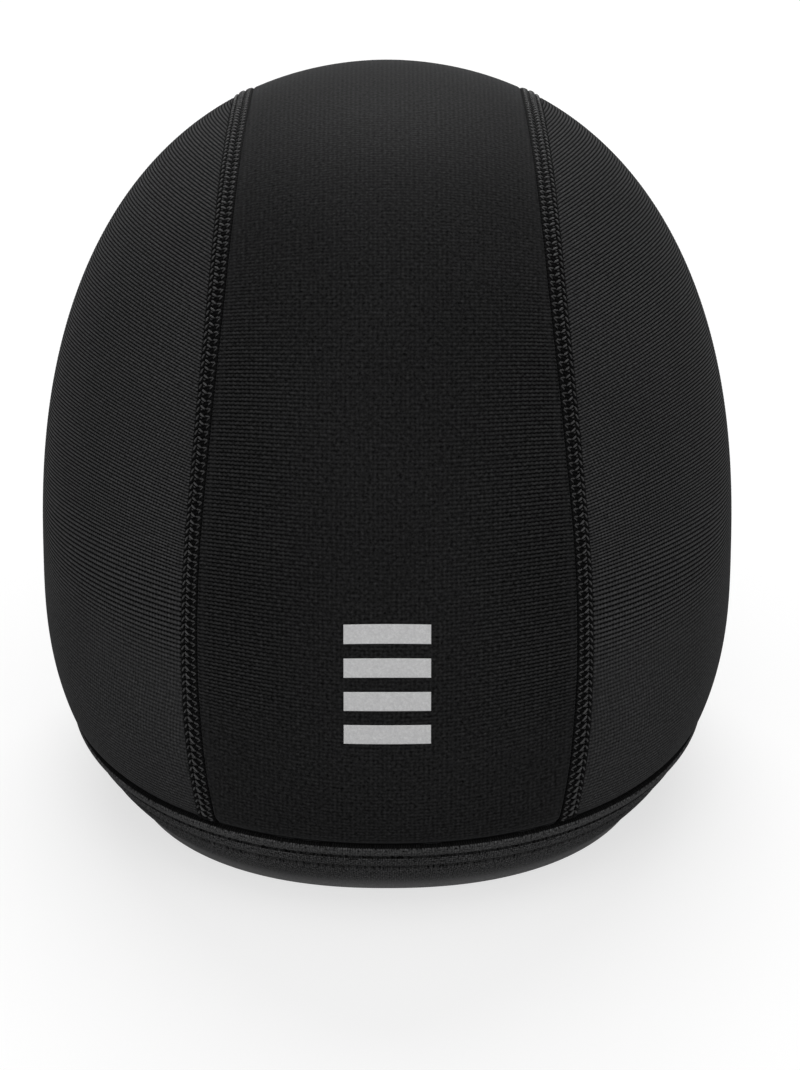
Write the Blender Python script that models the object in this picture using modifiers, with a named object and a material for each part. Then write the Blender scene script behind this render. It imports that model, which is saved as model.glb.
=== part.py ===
"""A helmet liner cap: a thin stretch-knit skull cap of three panels, joined by two raised
flatlocked seams and gathered by an elastic hem band. It stands on its hem, with its front
toward -Y and the wearer's left toward +X. Metres, +Z up, z = 0 at the hem's flat lower edge."""

from collections import namedtuple
from math import pi

import bmesh
import bpy
import numpy as np

COLLECTION = "helmet_liner_cap"

# Outer form
CAP_HEIGHT = 0.1597
CAP_WIDTH = 0.1559
BACK_REACH = 0.0982
FRONT_REACH = 0.0982
RIM_WIDTH = 0.1181
RIM_BACK_REACH = 0.0767
RIM_FRONT_REACH = 0.0805

# Cloth, seams and the gap between sewn pieces
PANEL_THICKNESS = 0.0012
SEAM_THICKNESS = 0.0020
SEAM_WIDTH = 0.0058
SEAM_RISE = 0.0008
SEAM_EDGE_DROP = 0.4
JOINT_GAP = 0.0003
SEAM_REACH = 0.0426

# Hem band
HEM_HEIGHT = 0.0165
HEM_THICKNESS = 0.0022
HEM_LIP = 0.0010
HEM_ROLL = 0.0004

# Reflective bars on the rear of the centre panel
BAR_COUNT = 4
BAR_WIDTH = 0.0186
BAR_HEIGHT = 0.00436
BAR_PITCH = 0.00768
BAR_THICKNESS = 0.0003
BAR_START = 0.0281

# Fineness of the faceted surfaces
STATIONS = 48
CENTER_COLUMNS = 10
SIDE_COLUMNS = 20
SEAM_COLUMNS = 4
HEM_COLUMNS = 64
BAR_COLUMNS = 6
BAR_ROWS = 2
ROOT_STEPS = 44
WELD_DISTANCE = 1e-6

# One row for each direction that the form is drawn in: how far the cloth reaches at its
# fullest and at the rim, how high the fullest level lies as a share of CAP_HEIGHT, and how
# square the curves above and below that level are.
Direction = namedtuple("Direction", "fullest rim level top_power rim_power")
SIDE = Direction(CAP_WIDTH / 2, RIM_WIDTH / 2, 0.334, 2.33, 3.08)
BACK = Direction(BACK_REACH, RIM_BACK_REACH, 0.291, 2.49, 3.07)
FRONT = Direction(FRONT_REACH, RIM_FRONT_REACH, 0.285, 2.25, 2.90)

# Level sections are superellipses, a little squarer at the rim than at the fullest level.
SECTION_POWER = 1.93
RIM_SECTION_POWER = 2.23

# Half the distance between the seams, as shares of SEAM_REACH, against the turn from the
# rear hem (0) over the top to the front hem (1).
SeamStation = namedtuple("SeamStation", "turn spacing")
SEAM_LINE = (
    SeamStation(0.00, 0.915),
    SeamStation(0.07, 0.975),
    SeamStation(0.14, 1.000),
    SeamStation(0.21, 0.985),
    SeamStation(0.28, 0.926),
    SeamStation(0.35, 0.860),
    SeamStation(0.43, 0.805),
    SeamStation(0.53, 0.755),
    SeamStation(0.65, 0.770),
    SeamStation(0.77, 0.820),
    SeamStation(0.88, 0.855),
    SeamStation(1.00, 0.830),
)

# The hem band's outer face above its upright lip: height as a share of the way from HEM_LIP
# to HEM_HEIGHT, and how far it stands from the cap's form as a share of HEM_ROLL. The two
# hollows are the stitch lines and the last crest is the rolled upper edge.
HemRow = namedtuple("HemRow", "height rise")
HEM_SECTION = (
    HemRow(0.00, 0.0),
    HemRow(0.28, 0.2),
    HemRow(0.54, -0.5),
    HemRow(0.65, 0.3),
    HemRow(0.76, -0.5),
    HemRow(0.87, 1.0),
    HemRow(1.00, 0.3),
)


def fall_below(level, height):
    """0 at a level and above it, growing to 1 at the hem's upright lip."""
    return np.clip((level - height) / (level - HEM_LIP), 0, 1)


def reach(direction, height):
    """Distance of the cap's outer face from its middle line at a height, in one direction."""
    level = direction.level * CAP_HEIGHT
    rise = np.clip((height - level) / (CAP_HEIGHT - level), 0, 1)
    fall = fall_below(level, height)
    above = direction.fullest * (1 - rise ** direction.top_power) ** (1 / direction.top_power)
    below = direction.fullest - (direction.fullest - direction.rim) * fall ** direction.rim_power
    return np.where(height > level, above, below)


def section_power(height):
    """Squareness of the level section at a height."""
    fall = fall_below(BACK.level * CAP_HEIGHT, height)
    return SECTION_POWER + (RIM_SECTION_POWER - SECTION_POWER) * fall


def fullness(points):
    """Below 1 inside the cap's outer face, 1 on it and above 1 outside."""
    x, y, z = np.moveaxis(np.asarray(points, float), -1, 0)
    tiny = 1e-9
    side = np.maximum(reach(SIDE, z), tiny)
    along = np.maximum(np.where(y > 0, reach(BACK, z), reach(FRONT, z)), tiny)
    power = section_power(z)
    above_the_cap = np.where(z > CAP_HEIGHT, 2.0, 0.0)
    return np.abs(x / side) ** power + np.abs(y / along) ** power + above_the_cap


def outward(points):
    """Unit normals of the cap's outer face, from central differences."""
    step = 1e-5
    slopes = []
    for axis in np.eye(3):
        slopes.append(fullness(points + step * axis) - fullness(points - step * axis))
    normal = np.stack(slopes, -1)
    return normal / np.linalg.norm(normal, axis=-1, keepdims=True)


def fan_points(across, turn):
    """Points of the outer face at a distance across the head, on planes that fan out from a
    cross line at the hem's upper edge: turn 0 is level to the rear, 1 is level to the front."""
    across, turn = np.broadcast_arrays(np.asarray(across, float), np.asarray(turn, float))
    angle = turn * pi
    near = np.zeros(across.shape)
    far = np.full(across.shape, 2.0 * (CAP_HEIGHT + BACK_REACH + FRONT_REACH))
    base = HEM_HEIGHT + JOINT_GAP
    for _ in range(ROOT_STEPS):
        middle = (near + far) / 2
        points = np.stack([across, middle * np.cos(angle), base + middle * np.sin(angle)], -1)
        inside = fullness(points) < 1
        near = np.where(inside, middle, near)
        far = np.where(inside, far, middle)
    return np.stack([across, near * np.cos(angle), base + near * np.sin(angle)], -1)


def level_points(height, bearing):
    """Points of the outer face at a height and a bearing round the head, where pi / 2 is the
    rear, 0 the wearer's left and -pi / 2 the front."""
    height, bearing = np.broadcast_arrays(np.asarray(height, float), np.asarray(bearing, float))
    power = 2 / section_power(height)
    cosine = np.cos(bearing)
    sine = np.sin(bearing)
    along = np.where(sine > 0, reach(BACK, height), reach(FRONT, height))
    x = reach(SIDE, height) * np.sign(cosine) * np.abs(cosine) ** power
    y = along * np.sign(sine) * np.abs(sine) ** power
    return np.stack([x, y, height], -1)


def bearing_of(points):
    """Bearing of points on the left half of the outer face, for level_points."""
    x, y, z = np.moveaxis(points, -1, 0)
    cosine = np.clip(x / np.maximum(reach(SIDE, z), 1e-9), 0, 1) ** (section_power(z) / 2)
    return np.sign(y) * np.arccos(cosine)


def smooth_through(rows, turn):
    """Smooth curve through a table's stations, read at the given turns."""
    stations = np.array([row.turn for row in rows])
    values = np.array([row.spacing for row in rows])
    slopes = np.gradient(values, stations)
    index = np.clip(np.searchsorted(stations, turn, side="right") - 1, 0, len(stations) - 2)
    width = stations[index + 1] - stations[index]
    t = (turn - stations[index]) / width
    start = (1 + 2 * t) * (1 - t) ** 2 * values[index] + t * (1 - t) ** 2 * width * slopes[index]
    end = t ** 2 * (3 - 2 * t) * values[index + 1] + t ** 2 * (t - 1) * width * slopes[index + 1]
    return start + end


def seam_across(turn, from_middle):
    """Distance across the head of a line that runs beside the left seam's middle, a given
    distance from it along the cloth; positive is away from the head's middle."""
    middle = SEAM_REACH * smooth_through(SEAM_LINE, turn)
    normal = outward(fan_points(middle, turn))
    direction = np.stack([0 * turn, np.cos(turn * pi), np.sin(turn * pi)], -1)
    lean = np.sum(normal * direction, -1)
    share = lean / np.hypot(lean, normal[..., 0])
    return middle + from_middle * share


def mirrored(points, side):
    """The left half's points, or their mirror image with the rows turned to face outward."""
    if side > 0:
        return points
    return points[:, ::-1] * np.array([-1.0, 1.0, 1.0])


def material(name, colour, roughness, metallic=0.0):
    """One piece's Principled BSDF."""
    finish = bpy.data.materials.new(name)
    finish.use_nodes = True
    shader = finish.node_tree.nodes["Principled BSDF"]
    shader.inputs["Base Color"].default_value = (*colour, 1.0)
    shader.inputs["Roughness"].default_value = roughness
    shader.inputs["Metallic"].default_value = metallic
    return finish


def weld(mesh):
    """Joins points that lie on each other, as in a row that shrinks to one point."""
    sheet = bmesh.new()
    sheet.from_mesh(mesh)
    bmesh.ops.remove_doubles(sheet, verts=sheet.verts, dist=WELD_DISTANCE)
    sheet.to_mesh(mesh)
    sheet.free()


def cloth(name, points, thickness, finish, ring=False):
    """A shell of cloth: a sheet through a grid of outer points, thickened inward."""
    rows, columns, _ = points.shape
    across = columns if ring else columns - 1
    faces = []
    for row in range(rows - 1):
        for column in range(across):
            beside = (column + 1) % columns
            low = row * columns
            high = low + columns
            faces.append((low + column, low + beside, high + beside, high + column))
    mesh = bpy.data.meshes.new(name)
    mesh.from_pydata(points.reshape(-1, 3).tolist(), [], faces)
    weld(mesh)
    mesh.materials.append(finish)
    mesh.shade_smooth()
    mesh.set_sharp_from_angle(angle=pi / 4)
    piece = bpy.data.objects.new(name, mesh)
    bpy.data.collections[COLLECTION].objects.link(piece)
    shell = piece.modifiers.new("cloth thickness", "SOLIDIFY")
    shell.thickness = thickness
    shell.offset = -1
    shell.use_even_offset = True
    return piece


def crown_center_panel():
    """The panel from the rear hem over the top to the front hem."""
    turn = np.linspace(0, 1, STATIONS + 1)[:, None]
    edge = seam_across(turn, -SEAM_WIDTH / 2 - JOINT_GAP)
    points = fan_points(edge * np.linspace(1, -1, CENTER_COLUMNS + 1), turn)
    knit = material("center_panel_knit", (0.018, 0.018, 0.020), 0.75)
    return cloth("crown_center_panel", points, PANEL_THICKNESS, knit)


def side_panel(name, side):
    """A side panel in rows, each from the front seam round the ear to the rear seam. The top
    row is the one point where the two meet."""
    turn = np.linspace(0, 1, STATIONS + 1)
    edge = fan_points(seam_across(turn, SEAM_WIDTH / 2 + JOINT_GAP), turn)
    bearing = bearing_of(edge)
    height = edge[:, 2]
    share = np.linspace(0, 1, SIDE_COLUMNS + 1)
    rear = slice(0, STATIONS // 2 + 1)
    front = slice(None, STATIONS // 2 - 1, -1)
    row_height = height[front, None] + (height[rear, None] - height[front, None]) * share
    row_bearing = bearing[front, None] + (bearing[rear, None] - bearing[front, None]) * share
    points = level_points(row_height, row_bearing)
    points[:, 0] = edge[front]
    points[:, -1] = edge[rear]
    points[-1] = edge[STATIONS // 2]
    knit = material(name + "_knit", (0.014, 0.014, 0.016), 0.8)
    return cloth(name, mirrored(points, side), PANEL_THICKNESS, knit)


def seam(name, side):
    """The raised strip where a side panel laps the centre panel, crowned across its width."""
    turn = np.linspace(0, 1, STATIONS + 1)[:, None]
    share = np.linspace(1, -1, SEAM_COLUMNS + 1)
    points = fan_points(seam_across(turn, SEAM_WIDTH / 2 * share), turn)
    crown = SEAM_RISE * (1 - SEAM_EDGE_DROP * share ** 2)
    points = points + outward(points) * crown[:, None]
    thread = material(name + "_thread", (0.022, 0.022, 0.024), 0.7)
    return cloth(name, mirrored(points, side), SEAM_THICKNESS, thread)


def hem_band():
    """The elastic band round the head opening, with its rolled upper edge and its flat base."""
    share = np.array([row.height for row in HEM_SECTION])
    base = [0.0]
    height = np.concatenate([base, HEM_LIP + (HEM_HEIGHT - HEM_LIP) * share])[:, None]
    rise = HEM_ROLL * np.concatenate([base, [row.rise for row in HEM_SECTION]])[:, None]
    bearing = np.linspace(0, 2 * pi, HEM_COLUMNS, endpoint=False)
    points = level_points(height, bearing)
    points = points + outward(points) * rise[..., None]
    elastic = material("hem_band_elastic", (0.030, 0.030, 0.033), 0.65)
    return cloth("hem_band", points, HEM_THICKNESS, elastic, ring=True)


def reflective_bar(number, film):
    """One reflective bar, laid over the rear of the centre panel; bar 1 is the lowest."""
    from_edge = BAR_START + (number - 1) * BAR_PITCH
    reference = np.linspace(0, 0.5, 400)
    middle = fan_points(0.0, reference)
    steps = np.linalg.norm(np.diff(middle, axis=0), axis=1)
    length = np.concatenate([[0.0], np.cumsum(steps)])
    rows = from_edge + BAR_HEIGHT * np.linspace(0, 1, BAR_ROWS + 1)
    turn = np.interp(rows, length, reference)[:, None]
    across = BAR_WIDTH / 2 * np.linspace(1, -1, BAR_COLUMNS + 1)
    points = fan_points(across, turn)
    points = points + outward(points) * (JOINT_GAP + BAR_THICKNESS)
    return cloth(f"reflective_bar_{number}", points, BAR_THICKNESS, film)


def main():
    for item in list(bpy.data.objects):
        bpy.data.objects.remove(item, do_unlink=True)
    parts = bpy.data.collections.new(COLLECTION)
    bpy.context.scene.collection.children.link(parts)
    crown_center_panel()
    side_panel("side_panel_left", 1)
    side_panel("side_panel_right", -1)
    seam("seam_left", 1)
    seam("seam_right", -1)
    hem_band()
    film = material("reflective_film", (0.50, 0.51, 0.52), 0.35, 0.2)
    for number in range(1, BAR_COUNT + 1):
        reflective_bar(number, film)


main()
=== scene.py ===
"""The helmet liner cap, dressed: ribbed and coursed knit panels, flatlocked seams with their
threads, an elastic hem band and reflective film bars, on a plain studio floor. Metres, +Z up,
front toward -Y, the wearer's left toward +X."""

from collections import namedtuple
from math import cos, pi, radians, sin

import bpy
import numpy as np
from bpy.props import FloatProperty, FloatVectorProperty, IntProperty, PointerProperty
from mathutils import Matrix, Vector


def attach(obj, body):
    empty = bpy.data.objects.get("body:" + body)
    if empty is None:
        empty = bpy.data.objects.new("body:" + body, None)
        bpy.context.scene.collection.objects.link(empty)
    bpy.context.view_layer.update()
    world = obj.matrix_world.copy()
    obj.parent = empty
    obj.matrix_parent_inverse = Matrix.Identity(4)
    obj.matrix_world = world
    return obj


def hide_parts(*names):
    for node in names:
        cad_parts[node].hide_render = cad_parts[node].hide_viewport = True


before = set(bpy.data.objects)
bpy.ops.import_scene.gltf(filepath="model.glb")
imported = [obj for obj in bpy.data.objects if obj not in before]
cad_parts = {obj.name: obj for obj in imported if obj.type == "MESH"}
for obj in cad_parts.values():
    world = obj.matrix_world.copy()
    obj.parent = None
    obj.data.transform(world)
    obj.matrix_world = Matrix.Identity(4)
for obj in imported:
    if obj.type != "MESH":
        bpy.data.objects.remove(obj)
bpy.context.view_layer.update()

bl_info = {
    "name": "Helmet Liner Cap",
    "version": (1, 0, 0),
    "blender": (4, 5, 0),
    "location": "3D View > Sidebar > Liner Cap",
    "description": "Builds the detailed knit cap around its packed frame",
    "category": "Add Mesh",
}

COLLECTION = "liner_cap_dressed"
BODY = "root"
SIDES = ((1, "left"), (-1, "right"))

# The cap's outer form, the same as in the part's source
CAP_HEIGHT = 0.1597
CAP_WIDTH = 0.1559
BACK_REACH = 0.0982
FRONT_REACH = 0.0982
RIM_WIDTH = 0.1181
RIM_BACK_REACH = 0.0767
RIM_FRONT_REACH = 0.0805
PANEL_THICKNESS = 0.0012
SEAM_THICKNESS = 0.0020
JOINT_GAP = 0.0003
SEAM_REACH = 0.0426
HEM_HEIGHT = 0.0165
HEM_THICKNESS = 0.0022
HEM_LIP = 0.0010
PANEL_LOW = HEM_HEIGHT + JOINT_GAP

Direction = namedtuple("Direction", "fullest rim level top_power rim_power")
SIDE = Direction(CAP_WIDTH / 2, RIM_WIDTH / 2, 0.334, 2.33, 3.08)
BACK = Direction(BACK_REACH, RIM_BACK_REACH, 0.291, 2.49, 3.07)
FRONT = Direction(FRONT_REACH, RIM_FRONT_REACH, 0.285, 2.25, 2.90)
SECTION_POWER = 1.93
RIM_SECTION_POWER = 2.23

# Half the distance between the seams as shares of SEAM_REACH, against the turn from the rear
# hem (0) over the top to the front hem (1)
SEAM_TURNS = (0.00, 0.07, 0.14, 0.21, 0.28, 0.35, 0.43, 0.53, 0.65, 0.77, 0.88, 1.00)
SEAM_SPACINGS = (
    0.915, 0.975, 1.0, 0.985, 0.926, 0.860, 0.805, 0.755, 0.770, 0.820, 0.855, 0.830)

# How far a knit course leaves the fan of level planes toward the seams, per turn
BOW_TURNS = (0.00, 0.03, 0.07, 0.12, 0.16, 0.21, 0.27, 0.35, 0.43, 0.50)
BOW_AMOUNTS = (0.0, 6.0, 9.5, 10.5, 12.0, 13.4, 14.0, 14.0, 8.0, 0.0)

# How far the side panels' ribs lean forward and outward from the level, per height
LEAN_HEIGHTS = (0.0168, 0.040, 0.060, 0.080, 0.095, 0.120, 0.155)
FORWARD_LEANS = (0.0, 0.025, 0.065, 0.115, 0.148, 0.170, 0.200)
OUTWARD_LEANS = (0.0, 0.0, 0.010, 0.120, 0.200, 0.310, 0.430)

# The seam strip as it shows: its width, how far its middle lies outside the seam's line, and
# the gap beside it
LAP_WIDTH = 0.0050
LAP_SHIFT = 0.00025
LAP_GAP = 0.00008

# How deep and how wide the cloth dips: a panel's edge beside a seam, a panel's end at the hem,
# the seam strip's edge and end, and the channels between its rows of thread
Dip = namedtuple("Dip", "depth width")
PANEL_EDGE = Dip(0.00014, 0.00022)
PANEL_END = Dip(0.0009, 0.0018)
LAP_EDGE = Dip(0.00024, 0.00017)
LAP_END = Dip(0.0010, 0.0009)
CHANNEL = Dip(0.00014, 0.0002)
CHANNEL_MIDDLES = (0.00136, -0.00031)

# Relief fades within this distance of a seam, and cloth is rubbed paler a little way from it
RELIEF_FADE = 0.0003
RUBBED_LINE = 0.0011
RUBBED_WIDTH = 0.0005
RUBBED = 0.25

# Rows of points to a course, rib or stitch, the height within a course's and a rib's relief
# that lies on the form, and how deep the panels' inside lies, with room for the relief
ROWS_PER_PITCH = 4
COURSE_LEVEL = 0.5
RIB_LEVEL = 0.6
PANEL_DEPTH = PANEL_THICKNESS + 0.0003

# Cloth this near a tucked end gets painted shade: it lies on a whole course, and a tone of the full
# shade below paints it near black at the end, easing off over this length
SHADED_END_LENGTH = 0.0009
PAINTED_FULL_SHADE = 1.4

# How clearly courses and ribs show at least, how far from the middle the courses come to show,
# and between which heights they and the ribs do so and the courses fade again
COURSES_LEAST = 0.22
COURSES_BESIDE = (0.006, 0.036)
COURSES_RISE = (0.034, 0.056)
COURSES_FADE = (0.118, 0.145)
RIBS_LEAST = 0.4
RIBS_RISE = (0.046, 0.064)

# Distances from an edge at which a panel and a bar have rows of points, the seam strip's rows
# as shares of its half width, the spacing of a shell's coarse inside, and a long rib's length
EDGE_STEPS = (0.0, 0.00012, 0.0003, 0.00055, 0.0009, 0.0014, 0.0022)
FILM_EDGE_STEPS = (0.0, 0.00004, 0.0001, 0.0002)
LAP_EDGE_SHARES = np.array([1, 0.985, 0.95, 0.9])
INSIDE_SPACING = 0.006
RIB_LENGTH = 0.19

# Rows of thread on a seam: where each stitch starts and ends across the seam, how much of a
# pitch it runs and is shifted by, how high it arches, and its thickness and tone
StitchRow = namedtuple("StitchRow", "start end run shift lift thickness tone")
STITCH_ROWS = (
    StitchRow(0.00154, 0.00220, -0.56, 0.95, 0.00015, 1.15, 0.85),
    StitchRow(0.00120, -0.00018, -0.80, 1.10, 0.00023, 1.15, 1.25),
    StitchRow(0.00106, 0.00046, -0.26, 0.52, 0.00013, 0.85, 0.75),
    StitchRow(-0.00040, -0.00186, -0.32, 0.30, 0.00017, 0.95, 0.92),
    StitchRow(-0.00192, -0.00098, -0.36, -0.04, 0.00014, 0.85, 0.78),
)

# Where a seam's first stitch starts, the length left free of stitches, how deep a thread sinks
# as a share of its radius, the width of the strip's wales, how far the stitches pucker it, how
# much of its crown is gone at its edges, and the seeds of the stitches' unevenness
FIRST_STITCH = 0.0022
END_MARGIN = 0.004
THREAD_SINK = 0.72
SEAM_WALE = 0.0007
PUCKER = 0.00007
CROWN_FALL = 0.55
SEAM_SEEDS = {"left": 11, "right": 12}

# The hem band's outer face above its flat base: height, and how far it stands from the form
HEM_HEIGHTS = (
    0.0, 0.0010, 0.0030, 0.0060, 0.0085, 0.0093, 0.0098, 0.0103, 0.0110,
    0.0122, 0.0131, 0.0136, 0.0141, 0.0147, 0.0153, 0.0159, 0.0163, 0.0165)
HEM_RISES = (
    0.0, 0.0, 0.00005, 0.00008, 0.00003, -0.00010, -0.00032, -0.00010, 0.00006,
    0.00006, -0.00010, -0.00050, 0.00000, 0.00030, 0.00044, 0.00048, 0.00040, 0.00016)

# Heights of the band's two grooves and of a course of its loops, the radius of its thread, the
# share of a pitch that a stitch runs, and the seed of the stitches' unevenness
HEM_GROOVES = (0.0098, 0.0136)
HEM_COURSE = 0.0006
HEM_THREAD = 0.00016
HEM_STITCH = 0.68
HEM_SEED = 21

# Stretches of the band's outer face, each with its lowest and highest row of points and their number
HEM_STRETCHES = (
    (0.0, 0.0004, 2), (0.0010, 0.0088, 9), (0.0091, 0.0105, 7),
    (0.0111, 0.0128, 4), (0.0131, 0.0141, 7), (0.0144, 0.0165, 8))

# The ribs start above the flat base and end at the roll
RIBS_FULL = 0.0012
RIBS_END = 0.0163

# Lowest and highest edge of the painted shade line in each groove, and how deep its painted shade is
HEM_SHADE_LINES = ((0.0092, 0.0102, 0.7), (0.0130, 0.0140, 0.95))

# The flange that rises from the band's upper edge behind the panels and closes the crease; it
# lies on one whole course and takes the full shade tone, so it is painted near black as the crease's
# shade
FLANGE_HEIGHTS = (0.01658, 0.01662, 0.0167, 0.0182, 0.0200)
FLANGE_RISES = (-0.0001, -0.0010, -0.0018, -0.0019, -0.0019)
FLANGE_SHADE_COURSE = 28.0

# The lowest bar's edge and the bars' spacing along the rear middle line, how far the film's
# two faces stand from the form, and how its edge is rounded
BAR_START = 0.0281
BAR_PITCH = 0.00768
FILM_TOP = 0.00030
FILM_BASE = 0.00008
FILM_EDGE = Dip(0.00008, 0.00006)

# Where the studio's screen and lamp stand, seen from the cap
SCREEN_DIRECTION = (0.0, 0.55, 0.835)
LAMP_DIRECTION = (0.0, -1.0, 0.85)
LAMP_SPREAD = radians(45)

# The floor's half size and depth under the hem, and the camera's lens, aim and the size of one
# of the photograph's pixels at the cap
FLOOR_REACH = 6.0
FLOOR_DROP = 0.0002
LENS = 223.5
CAP_MIDDLE = Vector((0.0, 0.0, 0.075))
PIXEL = 0.00022576
AIM_PIXELS = (12.8, 91.6)


# The form

def fall_below(level, height):
    """0 at a level and above it, growing to 1 at the hem's upright lip."""
    return np.clip((level - height) / (level - HEM_LIP), 0, 1)


def reach(direction, height):
    """Distance of the cap's outer face from its middle line at a height, in one direction."""
    level = direction.level * CAP_HEIGHT
    rise = np.clip((height - level) / (CAP_HEIGHT - level), 0, 1)
    fall = fall_below(level, height)
    above = direction.fullest * (1 - rise ** direction.top_power) ** (1 / direction.top_power)
    below = direction.fullest - (direction.fullest - direction.rim) * fall ** direction.rim_power
    return np.where(height > level, above, below)


def section_power(height):
    """Squareness of the level section at a height."""
    fall = fall_below(BACK.level * CAP_HEIGHT, height)
    return SECTION_POWER + (RIM_SECTION_POWER - SECTION_POWER) * fall


def fullness(points):
    """Below 1 inside the cap's outer face, 1 on it and above 1 outside."""
    x, y, z = np.moveaxis(np.asarray(points, float), -1, 0)
    tiny = 1e-9
    side = np.maximum(reach(SIDE, z), tiny)
    along = np.maximum(np.where(y > 0, reach(BACK, z), reach(FRONT, z)), tiny)
    power = section_power(z)
    above_the_cap = np.where(z > CAP_HEIGHT, 2.0, 0.0)
    return np.abs(x / side) ** power + np.abs(y / along) ** power + above_the_cap


def outward(points):
    """Unit normals of the cap's outer face, from central differences."""
    step = 1e-5
    slopes = []
    for axis in np.eye(3):
        slopes.append(fullness(points + step * axis) - fullness(points - step * axis))
    normal = np.stack(slopes, -1)
    return normal / np.linalg.norm(normal, axis=-1, keepdims=True)


def raised(points, rise):
    """Points lifted off the outer face by a rise, or sunk where it is negative."""
    return points + outward(points) * np.asarray(rise)[..., None]


def halved(low, high, is_low, steps):
    """Narrows a range of values by halving it, where is_low tells which half to keep."""
    for _ in range(steps):
        middle = (low + high) / 2
        below = is_low(middle)
        low = np.where(below, middle, low)
        high = np.where(below, high, middle)
    return low


def fan_points(across, turn):
    """Points of the outer face at a distance across the head, on planes that fan out from a
    cross line at the hem's upper edge: turn 0 is level to the rear, 1 is level to the front."""
    across, turn = np.broadcast_arrays(np.asarray(across, float), np.asarray(turn, float))
    angle = turn * pi

    def at(far):
        return np.stack([across, far * np.cos(angle), PANEL_LOW + far * np.sin(angle)], -1)

    beyond = np.full(across.shape, CAP_HEIGHT + BACK_REACH)
    return at(halved(np.zeros(across.shape), beyond, lambda far: fullness(at(far)) < 1, 40))


def level_points(height, bearing):
    """Points of the outer face at a height and a bearing round the head, where pi / 2 is the
    rear, 0 the wearer's left and -pi / 2 the front."""
    height, bearing = np.broadcast_arrays(np.asarray(height, float), np.asarray(bearing, float))
    power = 2 / section_power(height)
    cosine = np.cos(bearing)
    sine = np.sin(bearing)
    along = np.where(sine > 0, reach(BACK, height), reach(FRONT, height))
    x = reach(SIDE, height) * np.sign(cosine) * np.abs(cosine) ** power
    y = along * np.sign(sine) * np.abs(sine) ** power
    return np.stack([x, y, height], -1)


def bearing_of(points):
    """Bearing of points on the left half of the outer face, for level_points."""
    x, y, z = np.moveaxis(points, -1, 0)
    cosine = np.clip(x / np.maximum(reach(SIDE, z), 1e-9), 0, 1) ** (section_power(z) / 2)
    return np.sign(y) * np.arccos(cosine)


def smooth_through(stations, values, at):
    """Smooth curve through a table, read at the given places."""
    stations = np.asarray(stations)
    values = np.asarray(values)
    slopes = np.gradient(values, stations)
    index = np.clip(np.searchsorted(stations, at, side="right") - 1, 0, len(stations) - 2)
    width = stations[index + 1] - stations[index]
    t = (at - stations[index]) / width
    start = (1 + 2 * t) * (1 - t) ** 2 * values[index] + t * (1 - t) ** 2 * width * slopes[index]
    end = t ** 2 * (3 - 2 * t) * values[index + 1] + t ** 2 * (t - 1) * width * slopes[index + 1]
    return start + end


def seam_across(turn, from_middle):
    """Distance across the head of a line that runs beside the left seam's middle, a given
    distance from it along the cloth; positive is away from the head's middle."""
    middle = SEAM_REACH * smooth_through(SEAM_TURNS, SEAM_SPACINGS, turn)
    normal = outward(fan_points(middle, turn))
    direction = np.stack([0 * turn, np.cos(turn * pi), np.sin(turn * pi)], -1)
    lean = np.sum(normal * direction, -1)
    share = lean / np.hypot(lean, normal[..., 0])
    return middle + from_middle * share


def course_bow(turn):
    """How strongly a course bends away from its level plane; it turns over at the top."""
    folded = np.minimum(turn, 1 - turn)
    return np.where(turn < 0.5, 1, -1) * smooth_through(BOW_TURNS, BOW_AMOUNTS, folded)


def rib_label(points):
    """A number that stays the same along one rib of a side panel and grows up the panel."""
    x, y, z = np.moveaxis(points, -1, 0)
    height = np.clip(z, LEAN_HEIGHTS[0], LEAN_HEIGHTS[-1])
    forward = smooth_through(LEAN_HEIGHTS, FORWARD_LEANS, height)
    sideways = smooth_through(LEAN_HEIGHTS, OUTWARD_LEANS, height)
    return z - forward * y - sideways * np.abs(x)


def lengths_along(points):
    """Distance from a line's first point to each of its points, for one line or many."""
    steps = np.linalg.norm(np.diff(points, axis=-2), axis=-1)
    start = np.zeros((*steps.shape[:-1], 1))
    return np.concatenate([start, np.cumsum(steps, axis=-1)], axis=-1)


def middle_line(turn):
    """Distance across the head of the centre panel's middle."""
    return 0 * turn


def seam_line(turn):
    """Distance across the head of the left seam's middle."""
    return seam_across(turn, 0.0)


def even_turns(across, spacing):
    """Turns at an even spacing along a line over the head, and their distances from its start."""
    turn = np.linspace(0, 1, 4001)
    length = lengths_along(fan_points(across(turn), turn))
    count = int(round(length[-1] / spacing)) + 1
    distance = np.linspace(0, length[-1], count)
    return np.interp(distance, length, turn), distance


def round_head(height):
    """Bearings once round the head at a height, and the distances along them."""
    bearing = np.linspace(0, 2 * pi, 8001)
    return bearing, lengths_along(level_points(height, bearing))


def near_edge(distance, width):
    """1 at an edge, falling smoothly to 0 a width away from it."""
    return np.exp(-(np.asarray(distance) / width) ** 2)


def dipped(distance, dip):
    """How far the cloth dips at a distance from an edge."""
    return dip.depth * near_edge(distance, dip.width)


def ramp(value, low, high):
    """Smooth step from 0 to 1 between two values."""
    t = np.clip((value - low) / (high - low), 0, 1)
    return t * t * (3 - 2 * t)


def arch(share, power):
    """0 at both ends of a stitch and 1 at its middle."""
    return (4 * share * (1 - share)) ** power


def edged_shares(length, edge_steps, count):
    """Places from 0 to 1 across a piece of cloth, close together beside both of its edges."""
    edge = np.array(edge_steps) / length
    middle = np.linspace(edge[-1], 1 - edge[-1], count)
    return np.concatenate([edge[:-1], middle, 1 - edge[-2::-1]])


# Mesh making

def grid_faces(rows, columns, first=0, ring=False):
    """Four-sided faces of a grid of points."""
    row = np.arange(rows - 1)[:, None] * columns
    column = np.arange(columns if ring else columns - 1)[None, :]
    beside = (column + 1) % columns
    corners = [row + column, row + beside, row + columns + beside, row + columns + column]
    return first + np.stack(corners, -1).reshape(-1, 4)


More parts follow.
